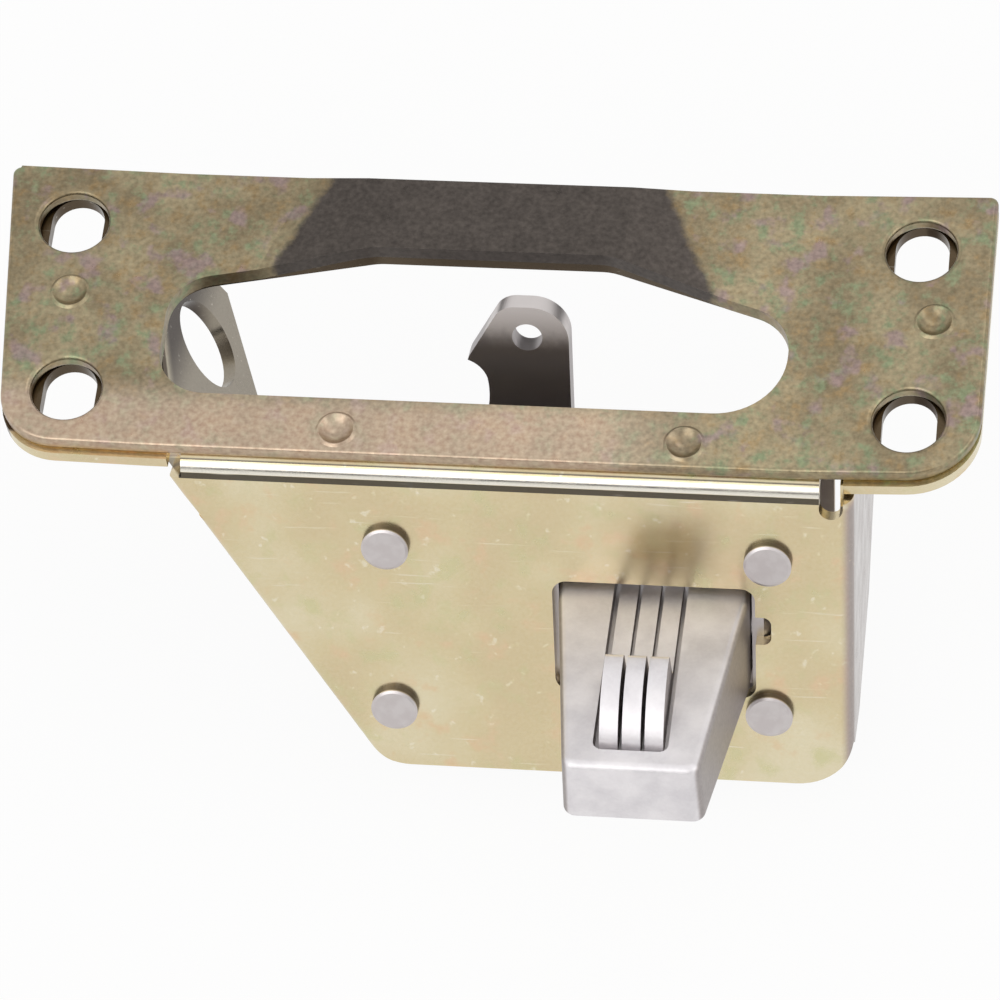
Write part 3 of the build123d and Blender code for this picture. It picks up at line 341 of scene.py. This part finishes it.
# Painted shade and dark reflection: a dark ring round the foot of each head.
foot = add(tree, "MapRange", {"Value": proud, "From Min": 1.3 * MM, "From Max": 0.9 * MM},
           interpolation_type="SMOOTHSTEP")
outside = add(tree, "Math", {0: proud, 1: -0.05 * MM}, operation="GREATER_THAN")
painted_shade_mask = add(tree, "Math", {0: foot, 1: outside}, operation="MULTIPLY")
tone = add(tree, "Mix", {"Factor": painted_shade_mask, "A": tone, "B": "#6E665F"}, data_type="RGBA")
dullness = add(tree, "MapRange", {"Value": spangle, "To Min": 0.3, "To Max": 0.44})
bump = add(tree, "Bump", {"Height": grain, "Strength": 0.12, "Distance": 0.05 * MM})
shader = add(tree, "BsdfPrincipled", {"Base Color": tone, "Metallic": 1, "Roughness": dullness,
                                      "Normal": bump})
add(tree, "OutputMaterial", {"Surface": shader})

# Hook: 4 mm hardened steel, blanked, in zinc. Its colour is painted light at the top and darker below, a
# painted reflection of the bright room above the flange and the dark under it. Its throat runs deeper than
# the model's, out of sight behind the opening's edge.
hook = refined("latch_hook", "hook")
throat_right_x, throat_top, throat_bottom = 1.2 * MM, 5.0 * MM, -3.0 * MM
throat_stretch = 0.8
for point in hook.data.vertices:
    height = (point.co - fold_corner).dot(up_the_web)
    if point.co.x < throat_right_x and throat_bottom < height < throat_top:
        point.co -= up_the_web * throat_stretch * (throat_top - height)

tree = new_material("hardened_steel_zinc_painted_reflection", [hook])
place = add(tree, "TexCoord").outputs["Object"]
axes = add(tree, "SeparateXYZ", {0: place})
ragged_noise = add(tree, "TexNoise", {"Vector": place, "W": 4.4, "Scale": 1 / (3 * MM), "Detail": 4},
           noise_dimensions="4D")
grit = add(tree, "TexNoise", {"Vector": place, "Scale": 1 / (0.6 * MM), "Detail": 3})
# Painted reflection: lighter above a ragged line, darker below.
ragged_height = add(tree, "Math", {0: ragged_noise, 1: 6 * MM, 2: axes.outputs["Z"]}, operation="MULTIPLY_ADD")
share = add(tree, "MapRange", {"Value": ragged_height, "From Min": 1.5 * MM, "From Max": 6 * MM},
            interpolation_type="SMOOTHSTEP")
tone = add(tree, "Mix", {"Factor": share, "A": "#9A9494", "B": "#D2CCCA"}, data_type="RGBA")
bump = add(tree, "Bump", {"Height": grit, "Strength": 0.15, "Distance": 0.06 * MM})
shader = add(tree, "BsdfPrincipled", {"Base Color": tone, "Metallic": 1, "Roughness": 0.36, "Normal": bump})
add(tree, "OutputMaterial", {"Surface": shader})

# Release lever: pressure die cast zinc alloy, tumbled but not painted. The skin is a satin light grey with
# flow clouds and painted shade on its flanks, and its grain of about 0.3 mm, drawn twice as coarse, shows on
# the end.
tree = new_material("tumbled_die_cast_zinc_alloy", [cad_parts["lever"]])
place = add(tree, "TexCoord").outputs["Object"]
flow = add(tree, "TexNoise", {"Vector": place, "W": 3.3, "Scale": 1 / (6 * MM), "Detail": 4},
           noise_dimensions="4D")
grain = add(tree, "TexNoise", {"Vector": place, "Scale": 1 / (0.7 * MM), "Detail": 3, "Roughness": 0.6})
share = add(tree, "MapRange", {"Value": flow, "From Min": 0.3, "From Max": 0.7},
            interpolation_type="SMOOTHSTEP")
tone = add(tree, "Mix", {"Factor": share, "A": "#DFDCDE", "B": "#EEEBEC"}, data_type="RGBA")
# Painted shade: faces turned sideways are drawn darker.
facing = add(tree, "SeparateXYZ", {0: add(tree, "NewGeometry").outputs["Normal"]})
sideways = add(tree, "Math", {0: facing.outputs["X"]}, operation="ABSOLUTE")
flank_painted_shade = add(tree, "MapRange", {"Value": sideways, "From Min": 0.45, "From Max": 0.8},
            interpolation_type="SMOOTHSTEP")
tone = add(tree, "Mix", {"Factor": flank_painted_shade, "A": tone, "B": "#B4ADAB"}, data_type="RGBA")
speck = add(tree, "Mix", {"Factor": grain, "A": "#3C3C3C", "B": "#C4C4C4"}, data_type="RGBA")
tone = add(tree, "Mix", {"Factor": 0.4, "A": tone, "B": speck}, data_type="RGBA", blend_type="OVERLAY")
dullness = add(tree, "MapRange", {"Value": flow, "To Min": 0.42, "To Max": 0.56})
bump = add(tree, "Bump", {"Height": grain, "Strength": 0.25, "Distance": 0.08 * MM})
shader = add(tree, "BsdfPrincipled", {"Base Color": tone, "Metallic": 1, "Roughness": dullness,
                                      "Normal": bump})
add(tree, "OutputMaterial", {"Surface": shader})

# Return springs: drawn spring steel wire, oil dipped, so they are a dark smooth grey with fine drawing lines.
# The lines are drawn far coarser than the real ones, so that they show.
springs = [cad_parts[node] for node in ("lever_return_spring", "hook_return_spring")]
tree = new_material("oil_dipped_spring_wire", springs)
place = add(tree, "TexCoord").outputs["Object"]
lines = add(tree, "TexNoise", {"Vector": place, "Scale": 1 / (1.5 * MM), "Detail": 3})
tone = add(tree, "Mix", {"Factor": lines, "A": "#5B5654", "B": "#8A8482"}, data_type="RGBA")
bump = add(tree, "Bump", {"Height": lines, "Strength": 0.1, "Distance": 0.04 * MM})
shader = add(tree, "BsdfPrincipled", {"Base Color": tone, "Metallic": 1, "Roughness": 0.3, "Normal": bump})
add(tree, "OutputMaterial", {"Surface": shader})

# Floor: pale seamless paper just under the latch. The camera and the metal see it white, and it keeps a
# faint shadow.
floor_half, floor_gap = 2.5, 0.5 * MM
floor_mesh = bpy.data.meshes.new("paper_floor")
shape = bmesh.new()
bmesh.ops.create_grid(shape, x_segments=1, y_segments=1, size=floor_half)
shape.to_mesh(floor_mesh)
shape.free()
floor = bpy.data.objects.new("paper_floor", floor_mesh)
floor.location.z = cad_low[2] - floor_gap
bpy.context.scene.collection.objects.link(floor)


def directly_seen(tree):
    """1 for a ray from the camera, a mirror or glass, and 0 for a ray that only brings light."""
    rays = add(tree, "LightPath").outputs
    seen = add(tree, "Math", {0: rays["Is Camera Ray"], 1: rays["Is Glossy Ray"]}, operation="ADD")
    return add(tree, "Math", {0: seen, 1: rays["Is Transmission Ray"]}, operation="ADD", use_clamp=True)


tree = new_material("pale_seamless_paper", [floor])
lit = add(tree, "BsdfDiffuse", {"Color": "#F4F3F1"})
glow = add(tree, "Emission", {"Color": "#FFFFFF", "Strength": 1})
white = add(tree, "MixShader", {0: 0.93, 1: lit, 2: glow})
both = add(tree, "MixShader", {0: directly_seen(tree), 1: lit, 2: white})
add(tree, "OutputMaterial", {"Surface": both})

# Studio: an even pale room that the metal mirrors as white, three wide soft lamps over the front left, the
# right and the rear, and two black flags that the camera doesn't see, which put dark lines in the metal.
world = bpy.data.worlds.new("white_room")
bpy.context.scene.world = world
world.use_nodes = True
tree = world.node_tree
tree.nodes.clear()
level = add(tree, "MapRange", {"Value": directly_seen(tree), "To Min": 0.7, "To Max": 1.0})
room = add(tree, "Background", {"Color": "#FFFFFF", "Strength": level})
add(tree, "OutputWorld", {"Surface": room})

latch_middle = Vector((0, -0.03, -0.03))


def soft_lamp(name, place, width, height, watts):
    """A rectangular soft lamp that faces the latch."""
    data = bpy.data.lights.new(name, "AREA")
    data.shape = "RECTANGLE"
    data.size, data.size_y, data.energy = width, height, watts
    lamp = bpy.data.objects.new(name, data)
    lamp.location = place
    lamp.rotation_euler = (latch_middle - Vector(place)).to_track_quat("-Z", "Y").to_euler()
    bpy.context.scene.collection.objects.link(lamp)


soft_lamp("front_soft_lamp", (-0.5, -0.9, 0.9), width=1.1, height=0.8, watts=4)
soft_lamp("right_soft_lamp", (1.0, -0.2, 0.5), width=0.6, height=0.8, watts=1.5)
soft_lamp("top_soft_lamp", (0.3, 0.6, 1.15), width=1.0, height=0.5, watts=1.1)


def black_flag(name, y, bottom, top):
    """A black card across the studio, unseen by the camera."""
    half_width = 1.2
    corners = [(-half_width, y, bottom), (half_width, y, bottom), (half_width, y, top), (-half_width, y, top)]
    mesh = bpy.data.meshes.new(name)
    mesh.from_pydata(corners, [], [(0, 1, 2, 3)])
    flag = bpy.data.objects.new(name, mesh)
    flag.visible_camera = False
    bpy.context.scene.collection.objects.link(flag)
    return flag


flags = [black_flag("rear_black_flag", y=0.8, bottom=0.8, top=1.0),
         black_flag("front_black_flag", y=-1.5, bottom=0.3, top=0.62)]
tree = new_material("black_velvet", flags)
add(tree, "OutputMaterial", {"Surface": add(tree, "BsdfDiffuse", {"Color": "#1C1A1A"})})

# Render as colours are written.
bpy.context.scene.view_settings.view_transform = "Standard"
